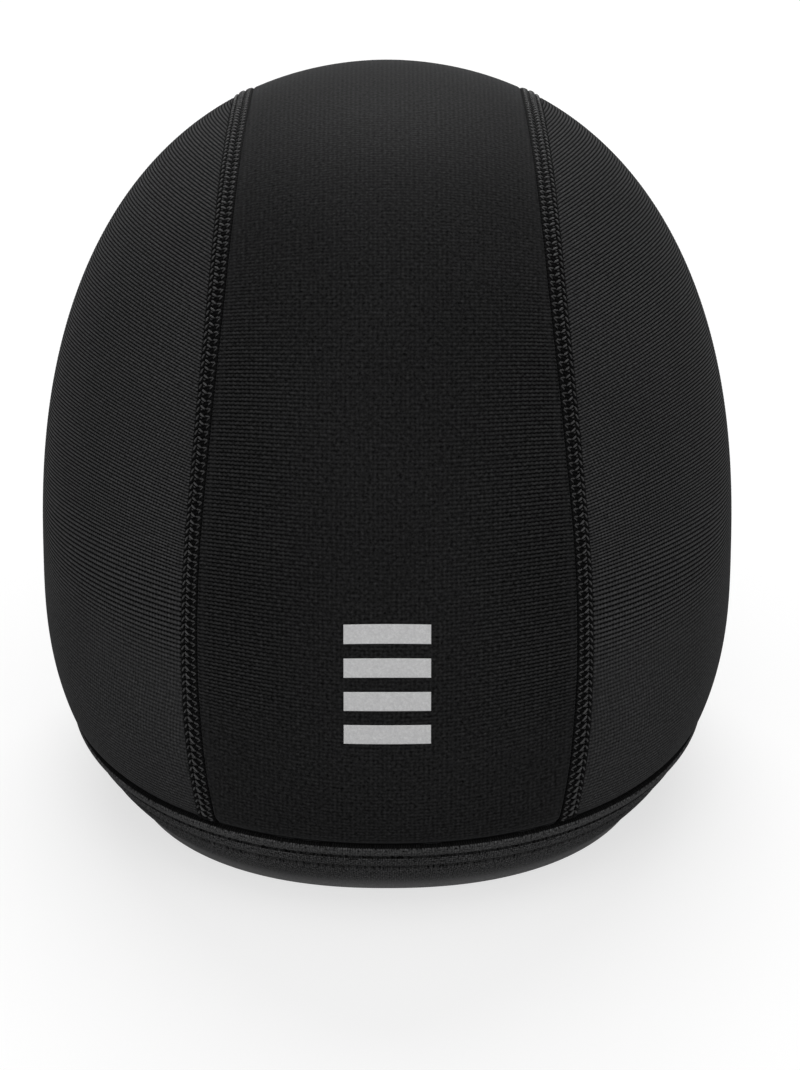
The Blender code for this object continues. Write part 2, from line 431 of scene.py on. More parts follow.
def borders(rows, columns, first, ring):
    """The lines of points round a grid, in the order of its faces."""
    index = first + np.arange(rows * columns).reshape(rows, columns)
    if ring:
        low = np.append(index[0], index[0, 0])
        high = np.append(index[-1, ::-1], index[-1, -1])
        return [low, high]
    return [index[0], index[:, -1], index[-1, ::-1], index[::-1, 0]]


def joined_edges(outer, inner, points):
    """Triangles that close the gap between an outer and an inner border line."""
    shares = []
    for line in (outer, inner):
        length = lengths_along(points[line])
        shares.append(length / max(length[-1], 1e-9))
    faces = []
    i = 0
    j = 0
    while i < len(outer) - 1 or j < len(inner) - 1:
        outer_left = i < len(outer) - 1
        inner_left = j < len(inner) - 1
        if outer_left and (not inner_left or shares[0][i + 1] <= shares[1][j + 1]):
            faces.append((outer[i + 1], outer[i], inner[j]))
            i += 1
        else:
            faces.append((outer[i], inner[j], inner[j + 1]))
            j += 1
    return faces


def link(name, mesh, finish, replaced=()):
    """A new object for a piece, riding on the cap's body."""
    mesh.materials.append(finish)
    piece = bpy.data.objects.new(name, mesh)
    bpy.data.collections[COLLECTION].objects.link(piece)
    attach(piece, BODY)
    if replaced:
        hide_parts(*replaced)


def build_mesh(name, points, quads, triangles, knit, tone, wrap=0.0):
    """A mesh with its knit coordinates in the corners, which are wales, courses and edge wear
    (on the hem's foot, painted light), and a tone in its points: a stitch's own shade, or how
    clearly the courses show, which also sets painted shade in grooves and at tucked ends."""
    mesh = bpy.data.meshes.new(name)
    corners = np.concatenate([np.ravel(quads), np.ravel(triangles)]).astype(np.int32)
    quad_starts = np.arange(len(quads)) * 4
    triangle_starts = 4 * len(quads) + np.arange(len(triangles)) * 3
    starts = np.concatenate([quad_starts, triangle_starts])
    mesh.vertices.add(len(points))
    mesh.vertices.foreach_set("co", np.asarray(points, np.float32).ravel())
    mesh.loops.add(len(corners))
    mesh.loops.foreach_set("vertex_index", corners)
    mesh.polygons.add(len(starts))
    mesh.polygons.foreach_set("loop_start", starts.astype(np.int32))
    mesh.update(calc_edges=True)
    values = knit[corners]
    if wrap:
        totals = np.diff(np.append(starts, len(corners)))
        highest = np.repeat(np.maximum.reduceat(values[:, 0], starts), totals)
        values[highest - values[:, 0] > wrap / 2, 0] += wrap
    layer = mesh.attributes.new("knit", "FLOAT_VECTOR", "CORNER")
    layer.data.foreach_set("vector", values.astype(np.float32).ravel())
    shade = mesh.attributes.new("tone", "FLOAT", "POINT")
    shade.data.foreach_set("value", np.asarray(tone, np.float32))
    mesh.shade_smooth()
    mesh.set_sharp_from_angle(angle=radians(80))
    return mesh


def cloth_shell(name, grids, knits, tone=1.0, side=1, ring=False, wrap=0.0):
    """A closed shell of cloth: a fine outer grid, a coarse inner grid and joined borders. Side
    -1 mirrors the left side's grids."""
    outer_rows, outer_columns, _ = grids[0].shape
    inner_rows, inner_columns, _ = grids[1].shape
    first = outer_rows * outer_columns
    points = np.concatenate([(grid[:, ::side] * [side, 1, 1]).reshape(-1, 3) for grid in grids])
    knit = np.concatenate([grid[:, ::side].reshape(-1, 3) for grid in knits])
    outside = grid_faces(outer_rows, outer_columns, 0, ring)
    inside = grid_faces(inner_rows, inner_columns, first, ring)[:, ::-1]
    triangles = []
    outer_lines = borders(outer_rows, outer_columns, 0, ring)
    inner_lines = borders(inner_rows, inner_columns, first, ring)
    for outer_line, inner_line in zip(outer_lines, inner_lines):
        triangles += joined_edges(outer_line, inner_line, points)
    quads = np.concatenate([outside, inside])
    outer_tones = (tone + np.zeros((outer_rows, outer_columns)))[:, ::side]
    tones = np.concatenate([outer_tones.ravel(), np.ones(len(points) - first)])
    return build_mesh(name, points, quads, np.array(triangles), knit, tones, wrap)


def threads(name, paths, lifts, radii, tones, sides=6):
    """A mesh of short round threads, each along its own path, with closed ends."""
    count, steps, _ = paths.shape
    along = np.gradient(paths, axis=1)
    along /= np.linalg.norm(along, axis=-1, keepdims=True)
    across = np.cross(along, lifts)
    across /= np.linalg.norm(across, axis=-1, keepdims=True)
    up = np.cross(across, along)
    angle = np.arange(sides)[:, None] * 2 * pi / sides
    radii = np.broadcast_to(radii, (count, steps))[..., None, None]
    ring = across[:, :, None] * np.cos(angle) + up[:, :, None] * np.sin(angle)
    points = (paths[:, :, None] + radii * ring).reshape(-1, 3)
    each = steps * sides
    tube = grid_faces(steps, sides, 0, True)[:, ::-1]
    cap = np.array([(0, k, k + 1) for k in range(1, sides - 1)])
    ends = np.concatenate([cap, cap[:, ::-1] + each - sides])
    offsets = (np.arange(count) * each)[:, None, None]
    quads = (tube[None] + offsets).reshape(-1, 4)
    triangles = (ends[None] + offsets).reshape(-1, 3)
    share = np.tile(np.repeat(np.linspace(0, 1, steps), sides), count)
    turn = np.tile(np.arange(sides) / sides, count * steps)
    knit = np.stack([turn, share, np.zeros(len(share))], -1)
    return build_mesh(name, points, quads, triangles, knit, np.repeat(tones, each))


def knit_field(wale, course, wear_and_painted_light):
    """Knit coordinates of a grid of points."""
    wale, course, wear_and_painted_light = np.broadcast_arrays(wale, course, wear_and_painted_light)
    return np.stack([wale, course, wear_and_painted_light], -1)


def rounded_profile(phase):
    """Height across one rib: a round crest with a narrow groove on each side of it."""
    return np.abs(np.sin(pi * phase)) ** 0.8


# Shaders

class Nodes:
    """Makes and links the nodes of one shader tree, laid out in the order they are made."""

    def __init__(self, tree):
        self.tree = tree

    def fill(self, item, values):
        """Feeds a node's sockets, by name or number, from other sockets or plain values."""
        for key, value in values.items():
            if isinstance(value, bpy.types.NodeSocket):
                self.tree.links.new(value, item.inputs[key])
            else:
                item.inputs[key].default_value = value
        return item

    def add(self, kind, values=None, **settings):
        """A new node with its settings and socket values."""
        item = self.tree.nodes.new(kind)
        count = len(self.tree.nodes)
        item.location = (180 * (count % 10) - 1600, 300 - 220 * (count // 10))
        for key, value in settings.items():
            setattr(item, key, value)
        return self.fill(item, values or {})

    def math(self, operation, *values, clamp=False):
        """Output of a Math node fed by sockets or plain numbers."""
        values = dict(enumerate(values))
        return self.add("ShaderNodeMath", values, operation=operation, use_clamp=clamp).outputs[0]

    def spread(self, value, amount, middle=1.0):
        """How far a mask is from one half, scaled by an amount and added to a middle value."""
        return self.math("MULTIPLY_ADD", self.math("SUBTRACT", value, 0.5), amount, middle)

    def wave(self, phase):
        """0 at whole numbers and 1 half way between them."""
        swing = self.math("COSINE", self.math("MULTIPLY", phase, 2 * pi))
        return self.math("SUBTRACT", 0.5, self.math("MULTIPLY", swing, 0.5))

    def attribute(self, name):
        """A node that reads one of the mesh's attributes."""
        return self.add("ShaderNodeAttribute", attribute_name=name)

    def knit(self):
        """Sockets for the mesh's wales, courses, and edge wear, with painted light on the hem's
        foot.
        """
        return self.split(self.attribute("knit").outputs["Vector"])

    def split(self, vector):
        """The three parts of a vector or colour."""
        return self.add("ShaderNodeSeparateXYZ", {0: vector}).outputs

    def place(self):
        """Place on the object."""
        return self.add("ShaderNodeTexCoord").outputs["Object"]

    def noise(self, vector, scale, detail, roughness=0.5):
        """Soft noise from 0 to 1."""
        values = {"Vector": vector, "Scale": scale, "Detail": detail, "Roughness": roughness}
        return self.add("ShaderNodeTexNoise", values).outputs[0]

    def cells(self, vector, scale):
        """Outputs of a pattern of cells."""
        return self.add("ShaderNodeTexVoronoi", {"Vector": vector, "Scale": scale}).outputs

    def mix(self, factor, first, second):
        """A mix of two colours."""
        values = {"Factor": factor, "A": first, "B": second}
        return self.add("ShaderNodeMix", values, data_type="RGBA").outputs["Result"]

    def scaled(self, colour, amount):
        """A colour made lighter or darker."""
        values = {0: colour, "Scale": amount}
        return self.add("ShaderNodeVectorMath", values, operation="SCALE").outputs[0]

    def bump(self, height, distance, strength=1.0):
        """A normal from a height."""
        values = {"Strength": strength, "Distance": distance, "Height": height}
        return self.add("ShaderNodeBump", values).outputs["Normal"]

    def seen(self, hidden, shown):
        """One level for the camera's own rays and another for all the rest."""
        rays = self.add("ShaderNodeLightPath").outputs["Is Camera Ray"]
        values = {"Value": rays, "To Min": hidden, "To Max": shown}
        return self.add("ShaderNodeMapRange", values).outputs[0]


def new_group(name, inputs, outputs):
    """A shader group with named sockets; returns its node maker and its two ends' sockets."""
    tree = bpy.data.node_groups.new(name, "ShaderNodeTree")
    for label, default in inputs.items():
        kind = "NodeSocketFloat" if isinstance(default, float) else "NodeSocketColor"
        socket = tree.interface.new_socket(label, in_out="INPUT", socket_type=kind)
        socket.default_value = default
    for label, kind in outputs.items():
        tree.interface.new_socket(label, in_out="OUTPUT", socket_type=kind)
    make = Nodes(tree)
    return make, make.add("NodeGroupInput").outputs, make.add("NodeGroupOutput")


def knit_relief_group():
    """Stitch loops: height, how deep a point lies between courses, which sets the painted groove
    shade, and yarn grain.
    """
    make, given, result = new_group("Knit Relief", {
        "Course Depth": 0.5,
        "Wale Depth": 0.3,
        "Loop Slant": 0.2,
        "Grain Depth": 0.3,
        "Grain Scale": 2500.0,
        "Wale Tone": 0.3,
        "Loop Variation": 0.5,
    }, {"Height": "NodeSocketFloat", "Groove": "NodeSocketFloat", "Grain": "NodeSocketFloat"})
    wales, courses, _ = make.knit()
    place = make.place()
    relief_and_shade = make.attribute("tone").outputs["Fac"]
    wale = make.spread(make.noise(place, 140.0, 3.0), 0.35, wales)
    leg = make.math("ABSOLUTE", make.math("SUBTRACT", make.math("FRACT", wale), 0.5))
    course = make.math("ADD", courses, make.math("MULTIPLY", leg, given["Loop Slant"]))
    course_wave = make.wave(course)
    wale_wave = make.wave(wale)
    grain = make.noise(place, given["Grain Scale"], 2.0, 0.6)
    flat = make.add("ShaderNodeCombineXYZ", {0: wales, 1: courses}).outputs[0]
    loops = make.math("SUBTRACT", make.noise(flat, 1.25, 1.0), 0.5)
    mottle = make.math("ADD", grain, make.math("MULTIPLY", loops, given["Loop Variation"]))
    height = make.math("MULTIPLY", course_wave, given["Course Depth"])
    height = make.math("MULTIPLY", height, relief_and_shade)
    height = make.math("ADD", height, make.math("MULTIPLY", wale_wave, given["Wale Depth"]))
    height = make.math("ADD", height, make.math("MULTIPLY", mottle, given["Grain Depth"]))
    groove = make.math("POWER", make.math("SUBTRACT", 1.0, course_wave), 1.3)
    shown = make.math("MULTIPLY", make.math("SUBTRACT", groove, 0.45), relief_and_shade)
    between = make.math("MULTIPLY", make.math("SUBTRACT", 0.5, wale_wave), given["Wale Tone"])
    groove = make.math("ADD", make.math("ADD", shown, between), 0.45, clamp=True)
    make.fill(result, {"Height": height, "Groove": groove, "Grain": mottle})
    return make.tree


def cloth_tone_group():
    """Yarn colour: painted shade in the grooves, clouded over the cloth, paler on rubbed edges and
    painted light on the hem's foot, with a little lint."""
    make, given, result = new_group("Cloth Tone", {
        "Yarn": (0.02, 0.02, 0.02, 1.0),
        "Groove Shade": (0.004, 0.004, 0.004, 1.0),
        "Rubbed And Lit": (0.05, 0.05, 0.05, 1.0),
        "Groove": 0.0,
        "Grain": 0.5,
        "Clouding": 0.3,
        "Lint": 0.2,
        "Smooth": 0.55,
        "Rough": 0.8,
    }, {"Color": "NodeSocketColor", "Roughness": "NodeSocketFloat"})
    place = make.place()
    _, _, wear_and_painted_light = make.knit()
    cloud = make.spread(make.noise(place, 38.0, 4.0), given["Clouding"])
    shade = make.math("MULTIPLY", cloud, make.spread(given["Grain"], 1.8))
    colour = make.scaled(make.mix(given["Groove"], given["Yarn"], given["Groove Shade"]), shade)
    colour = make.mix(wear_and_painted_light, colour, given["Rubbed And Lit"])
    fibres = make.math("LESS_THAN", make.cells(place, 420.0)["Distance"], 0.085)
    lint = make.math("MULTIPLY", fibres, given["Lint"])
    colour = make.mix(lint, colour, (0.12, 0.12, 0.12, 1.0))
    span = make.math("SUBTRACT", given["Rough"], given["Smooth"])
    rough = make.math("MULTIPLY_ADD", given["Groove"], span, given["Smooth"])
    make.fill(result, {"Color": colour, "Roughness": rough})
    return make.tree


def new_material(name):
    """A material with a lone Principled BSDF, and the maker of its other nodes."""
    finish = bpy.data.materials.new(name)
    finish.use_nodes = True
    return finish, Nodes(finish.node_tree), finish.node_tree.nodes["Principled BSDF"]


def placed_group(make, name, maker, values):
    """A shared group, made on first use and placed in a material with its own values."""
    group = bpy.data.node_groups.get(name) or maker()
    return make.add("ShaderNodeGroup", values, node_tree=group)


def opaque(colour):
    """A colour property as a socket's four numbers."""
    return (*colour, 1.0)


def knit_material(name, colours, relief, tone, bump, sheen, gloss):
    """Stretch knit: loops from the shared groups, with a soft sheen. The colours are those of
    the yarn, of painted shade in the grooves between its loops, and of rubbed places, which on
    the hem's foot is painted light."""
    finish, make, shader = new_material(name)
    loops = placed_group(make, "Knit Relief", knit_relief_group, relief)
    shade = placed_group(make, "Cloth Tone", cloth_tone_group, tone)
    for label, colour in zip(("Yarn", "Groove Shade", "Rubbed And Lit"), colours):
        shade.inputs[label].default_value = opaque(colour)
    make.fill(shade, {"Groove": loops.outputs["Groove"], "Grain": loops.outputs["Grain"]})
    make.fill(shader, {
        "Base Color": shade.outputs["Color"],
        "Roughness": shade.outputs["Roughness"],
        "Normal": make.bump(loops.outputs["Height"], bump),
        "Specular IOR Level": gloss,
        "Sheen Weight": sheen,
        "Sheen Roughness": 0.32,
        "Sheen Tint": (0.55, 0.56, 0.58, 1.0),
    })
    return finish


def film_material(name, colour, fleck):
    """Reflective transfer film: matt grey with fine glass beads that catch the light."""
    finish, make, shader = new_material(name)
    place = make.place()
    beads = make.cells(place, 3400.0)
    cell, _, _ = make.split(beads["Color"])
    bright = make.add("ShaderNodeMapRange", {"Value": cell, "From Min": 0.45, "To Max": 0.5})
    grain = make.spread(make.noise(place, 1500.0, 2.0), 0.30)
    mixed = make.mix(bright.outputs[0], opaque(colour), opaque(fleck))
    make.fill(shader, {
        "Base Color": make.scaled(mixed, grain),
        "Normal": make.bump(beads["Distance"], 0.00004, 0.35),
        "Roughness": 0.48,
        "Metallic": 0.15,
        "Specular IOR Level": 0.4,
    })
    return finish


def thread_material(name, colour):
    """Twisted polyester thread with a soft shine; each stitch has its own tone."""
    finish, make, shader = new_material(name)
    turn, share, _ = make.knit()
    twist = make.math("MULTIPLY_ADD", share, 4.0, turn)
    ply = make.math("SINE", make.math("MULTIPLY", twist, 2 * pi))
    shade = make.math("MULTIPLY_ADD", ply, 0.18, 1.0)
    shade = make.math("MULTIPLY", shade, make.attribute("tone").outputs["Fac"])
    make.fill(shader, {
        "Base Color": make.scaled(colour, shade),
        "Normal": make.bump(ply, 0.00004, 0.6),
        "Roughness": 0.42,
        "Specular IOR Level": 0.35,
        "Sheen Weight": 0.05,
    })
    return finish


# The pieces

def center_panel_points(turn, share):
    """Points of the centre panel's form at each course and each place across it, and how far
    each lies from the nearer seam."""
    fine = np.linspace(0, 1, 1201)
    edge_line = seam_across(fine, LAP_SHIFT - LAP_WIDTH / 2 - LAP_GAP)
    edge = np.interp(turn, fine, edge_line)
    for _ in range(4):
        bowed = np.clip(turn + course_bow(turn) * (edge * share) ** 2, 0, 1)
        edge = np.interp(bowed, fine, edge_line)
    return fan_points(edge * share, bowed), edge * (1 - np.abs(share))


def course_clearness(points):
    """How clearly the centre panel's courses show, in relief and in painted groove shade: most
    beside the seams on the back.
    """
    x, _, z = np.moveaxis(points, -1, 0)
    relief_and_shade = (1 - COURSES_LEAST) * ramp(np.abs(x), *COURSES_BESIDE) * ramp(z, *COURSES_RISE)
    return COURSES_LEAST + relief_and_shade * (1 - ramp(z, *COURSES_FADE))


def panel_face(points, relief, seam_distance, end_distance):
    """A panel's outer face: its relief, calm beside the seams, and its dips at the edges."""
    dip = dipped(seam_distance, PANEL_EDGE) + dipped(end_distance, PANEL_END)
    return raised(points, relief * (1 - near_edge(seam_distance, RELIEF_FADE)) - dip)


def rubbed(seam_distance):
    """Wear of a panel's cloth a little way from its seams."""
    return RUBBED * near_edge(seam_distance - RUBBED_LINE, RUBBED_WIDTH)


class CapKnit(bpy.types.PropertyGroup):
    course_pitch: FloatProperty(
        name="Course Pitch", description="Distance between the centre panel's knit courses",
        default=0.00090, min=0.0006, max=0.003, precision=5, unit="LENGTH")
    course_relief: FloatProperty(
        name="Course Relief", description="How far a course stands above the groove beside it",
        default=0.00004, min=0.0, max=0.0003, precision=5, unit="LENGTH")
    rib_pitch: FloatProperty(
        name="Rib Pitch", description="Distance between the side panels' ribs",
        default=0.00077, min=0.0006, max=0.003, precision=5, unit="LENGTH")
    rib_relief: FloatProperty(
        name="Rib Relief", description="How far a rib stands above the groove beside it",
        default=0.00016, min=0.0, max=0.0005, precision=5, unit="LENGTH")
    wale_pitch: FloatProperty(
        name="Wale Pitch", description="Distance between the columns of knit loops",
        default=0.00098, min=0.0003, max=0.003, precision=5, unit="LENGTH")
    center_colour: FloatVectorProperty(
        name="Centre Yarn", description="Colour of the centre panel's yarn",
        default=(0.0290, 0.0290, 0.0295), min=0.0, max=1.0, subtype="COLOR")
    side_colour: FloatVectorProperty(
        name="Side Yarn", description="Colour of the side panels' yarn",
        default=(0.069, 0.069, 0.0703), min=0.0, max=1.0, subtype="COLOR")
    # The groove colour is painted shade in the grooves between ribs and courses and at tucked ends,
    # not a colour of the yarn
    groove_shade_colour: FloatVectorProperty(
        name="Painted Groove Shade", description="Colour of the yarn between ribs and courses",
        default=(0.0008, 0.0008, 0.0009), min=0.0, max=1.0, subtype="COLOR")


class CapSeams(bpy.types.PropertyGroup):
    stitch_pitch: FloatProperty(
        name="Stitch Pitch", description="Distance between stitches along a seam",
        default=0.00166, min=0.001, max=0.004, precision=5, unit="LENGTH")
    thread_radius: FloatProperty(
        name="Thread Radius", description="Radius of the flatlock threads",
        default=0.00021, min=0.00005, max=0.0006, precision=5, unit="LENGTH")
    crown: FloatProperty(
        name="Crown", description="Height of the seam's middle above the panels",
        default=0.00020, min=0.0, max=0.002, precision=5, unit="LENGTH")
    cloth_colour: FloatVectorProperty(
        name="Seam Cloth", description="Colour of the lapped cloth under the threads",
        default=(0.006, 0.006, 0.0062), min=0.0, max=1.0, subtype="COLOR")
    thread_colour: FloatVectorProperty(
        name="Thread", description="Colour of the flatlock threads",
        default=(0.049, 0.049, 0.0498), min=0.0, max=1.0, subtype="COLOR")


class CapHem(bpy.types.PropertyGroup):
    rib_pitch: FloatProperty(
        name="Rib Pitch", description="Distance between the elastic's fine upright ribs",
        default=0.00052, min=0.0004, max=0.003, precision=5, unit="LENGTH")
    rib_relief: FloatProperty(
        name="Rib Relief", description="How far a rib stands above the groove beside it",
        default=0.00005, min=0.0, max=0.0003, precision=5, unit="LENGTH")
    stitch_pitch: FloatProperty(
        name="Stitch Pitch", description="Distance between stitches round the hem",
        default=0.0017, min=0.001, max=0.005, precision=5, unit="LENGTH")
    colour: FloatVectorProperty(
        name="Elastic", description="Colour of the hem band's elastic",
        default=(0.090, 0.090, 0.0915), min=0.0, max=1.0, subtype="COLOR")


class CapBars(bpy.types.PropertyGroup):
    count: IntProperty(
        name="Bars", description="Number of reflective bars on the frame's rear",
        default=4, min=1, max=4)
    width: FloatProperty(
        name="Width", description="Length of a bar across the head",
        default=0.0186, min=0.005, max=0.04, precision=4, unit="LENGTH")
    height: FloatProperty(
        name="Height", description="Height of a bar along the cloth",
        default=0.00436, min=0.001, max=0.02, precision=5, unit="LENGTH")
    colour: FloatVectorProperty(
        name="Film", description="Colour of the reflective film",
        default=(0.78, 0.78, 0.785), min=0.0, max=1.0, subtype="COLOR")
    fleck_colour: FloatVectorProperty(
        name="Beads", description="Colour of the beads that catch the light",
        default=(0.95, 0.95, 0.955), min=0.0, max=1.0, subtype="COLOR")


class CapStage(bpy.types.PropertyGroup):
    elevation: FloatProperty(
        name="Camera Elevation", description="Angle of the view above the level",
        default=radians(21), min=0.0, max=pi / 2, unit="ROTATION")
    distance: FloatProperty(
        name="Camera Distance", description="Distance from the camera to the cap",
        default=1.5, min=0.3, max=5.0, unit="LENGTH")
    floor_colour: FloatVectorProperty(
        name="Floor", description="Colour of the studio floor",
        default=(0.42, 0.42, 0.42), min=0.0, max=1.0, subtype="COLOR")
    glow: FloatProperty(
        name="Table Glow", description="Brightness of the lit table as the camera sees it",
        default=0.67, min=0.0, max=2.0)
    table_light: FloatProperty(
        name="Table Light", description="Brightness of the lit table as the cap sees it",
        default=0.15, min=0.0, max=2.0)
    sky: FloatProperty(
        name="Fill Light", description="Brightness of the studio around the cap",
        default=0.12, min=0.0, max=5.0)
    screen: FloatProperty(
        name="Screen Light", description="Brightness of the wide screen above the camera",
        default=0.96, min=0.0, max=5.0)
    lamp: FloatProperty(
        name="Back Light", description="Strength of the wide light above and behind the cap",
        default=1.75, min=0.0, max=20.0)


class CAP_OT_center_panel(bpy.types.Operator):
    """Knits the centre panel from the rear hem over the top to the front hem"""
    bl_idname = "liner_cap.center_panel"
    bl_label = "Centre Panel"

    def execute(self, context):
        knit = context.scene.liner_cap_knit
        turn, length = even_turns(middle_line, knit.course_pitch / ROWS_PER_PITCH)
        courses = length / knit.course_pitch
        share = 1 - 2 * edged_shares(2 * SEAM_REACH, EDGE_STEPS, 38)
        points, seam_distance = center_panel_points(turn[:, None], share)
        end_distance = np.minimum(length, length[-1] - length)[:, None]
        relief_and_shade = course_clearness(points)
        # Painted shade at the tucked ends: a whole course and a deep tone, easing off away from the
        # end
        shaded_end = end_distance[:, 0] < SHADED_END_LENGTH
        relief_and_shade[shaded_end] = PAINTED_FULL_SHADE * (1 - end_distance[shaded_end] / SHADED_END_LENGTH)
        courses[shaded_end] = np.round(courses[shaded_end] / courses[-1]) * round(courses[-1])
        relief = knit.course_relief * (rounded_profile(courses)[:, None] - COURSE_LEVEL) * relief_and_shade
        outer = panel_face(points, relief, seam_distance, end_distance)
        wales = points[..., 0] / knit.wale_pitch
        outer_knit = knit_field(wales, courses[:, None], rubbed(seam_distance))
        rough_turn, rough_length = even_turns(middle_line, INSIDE_SPACING)
        inner, _ = center_panel_points(rough_turn[:, None], np.linspace(1, -1, 15))
        rough_courses = rough_length[:, None] / knit.course_pitch
        inner_knit = knit_field(inner[..., 0] / knit.wale_pitch, rough_courses, 0.0)
        grids = (outer, raised(inner, -PANEL_DEPTH))
        mesh = cloth_shell("center_panel", grids, (outer_knit, inner_knit), relief_and_shade)
        finish = knit_material(
            "Centre Panel Knit",
            # Yarn, painted shade for the grooves and tucked ends, and the colour of rubbed places
            (knit.center_colour, knit.groove_shade_colour, (0.026, 0.026, 0.027)),
            {"Course Depth": 0.45, "Wale Depth": 0.12, "Loop Slant": 0.30, "Grain Depth": 0.35,
             "Grain Scale": 2200.0, "Wale Tone": 0.16, "Loop Variation": 1.2},
            {"Clouding": 0.35, "Lint": 0.10, "Smooth": 0.56, "Rough": 0.80},
            bump=0.00007, sheen=0.15, gloss=0.03)
        link("crown_center_knit", mesh, finish, ["crown_center_panel"])
        return {"FINISHED"}


class CAP_OT_side_panels(bpy.types.Operator):
    """Knits the two ribbed side panels, each from the front seam round the ear to the rear"""
    bl_idname = "liner_cap.side_panels"
    bl_label = "Side Panels"

    def execute(self, context):
        knit = context.scene.liner_cap_knit
        finish = knit_material(
            "Side Panel Ribs",
            # Yarn, painted shade for the grooves and tucked ends, and the colour of rubbed places
            (knit.side_colour, knit.groove_shade_colour, (0.030, 0.030, 0.031)),
            {"Course Depth": 0.5, "Wale Depth": 0.16, "Loop Slant": 0.12, "Grain Depth": 0.3,
             "Grain Scale": 2200.0, "Wale Tone": 0.20, "Loop Variation": 0.6},
            {"Clouding": 0.30, "Lint": 0.10, "Smooth": 0.52, "Rough": 0.80},
            bump=0.00006, sheen=0.03, gloss=0.01)
        for side, label in SIDES:
            mesh = self.panel(knit, side, label)
            link(f"side_ribs_{label}", mesh, finish, [f"side_panel_{label}"])
        return {"FINISHED"}

    def rows(self, labels, share, ends):
        """Points of ribs between the seams, and their distance from the front seam."""
        front, rear = [np.interp(labels, *line)[:, None] for line in ends]
        bearing = front + (rear - front) * share
        low = np.full(bearing.shape, PANEL_LOW)
        high = np.full(bearing.shape, CAP_HEIGHT - 0.00001)
        goal = labels[:, None]
        height = halved(low, high, lambda z: rib_label(level_points(z, bearing)) < goal, 24)
        points = level_points(height, bearing)
        return points, lengths_along(points)

    def panel(self, knit, side, label):
        """One side's panel, whose rows of points follow its ribs from the lowest up."""
        turn = np.linspace(0, 1, 3001)
        edge = fan_points(seam_across(turn, LAP_SHIFT + LAP_WIDTH / 2 + LAP_GAP), turn)
        edge_label = rib_label(edge)
        bearing = bearing_of(edge)
        top = int(np.argmax(edge_label))
        front_and_rear = (slice(None, top - 1, -1), slice(None, top + 1))
        ends = [(edge_label[part], bearing[part]) for part in front_and_rear]
        meridian = level_points(np.linspace(PANEL_LOW, edge[:, 2].max(), 6001), 0.0)
        length = lengths_along(meridian)
        labels = rib_label(meridian)
        run = length[-1] - length[-200]
        climb = labels[-1] - labels[-200]
        length = np.append(length, length[-1] + (edge_label[top] - labels[-1]) * run / climb)
        labels = np.append(labels, edge_label[top] - 0.00002)
        count = int(round(length[-1] / (knit.rib_pitch / ROWS_PER_PITCH))) + 1
        distance = np.linspace(0, length[-1], count)
        share = edged_shares(RIB_LENGTH, EDGE_STEPS, 90)
        points, along = self.rows(np.interp(distance, length, labels), share, ends)
        seam_distance = np.minimum(along, along[:, -1:] - along)
        ribs = distance / knit.rib_pitch
        relief_and_shade = RIBS_LEAST + (1 - RIBS_LEAST) * ramp(points[..., 2], *RIBS_RISE)
        # Painted shade at the tucked end: a whole course and a deep tone, easing off away from the
        # end
        shaded_end = distance < SHADED_END_LENGTH
        relief_and_shade[shaded_end] = PAINTED_FULL_SHADE * (1 - distance[shaded_end, None] / SHADED_END_LENGTH)
        ribs[shaded_end] = 0
        relief = knit.rib_relief * relief_and_shade * (rounded_profile(ribs) - RIB_LEVEL)[:, None]
        outer = panel_face(points, relief, seam_distance, distance[:, None])
        wales = along / knit.wale_pitch
        outer_knit = knit_field(wales, ribs[:, None], rubbed(seam_distance))
        distance = np.linspace(0, length[-1], 34)
        rough_labels = np.interp(distance, length, labels)
        inner, along = self.rows(rough_labels, np.linspace(0, 1, 33), ends)
        rough_ribs = distance[:, None] / knit.rib_pitch
        inner_knit = knit_field(along / knit.wale_pitch, rough_ribs, 0.0)
        grids = (outer, raised(inner, -PANEL_DEPTH))
        return cloth_shell(f"side_panel_{label}", grids, (outer_knit, inner_knit), relief_and_shade, side)


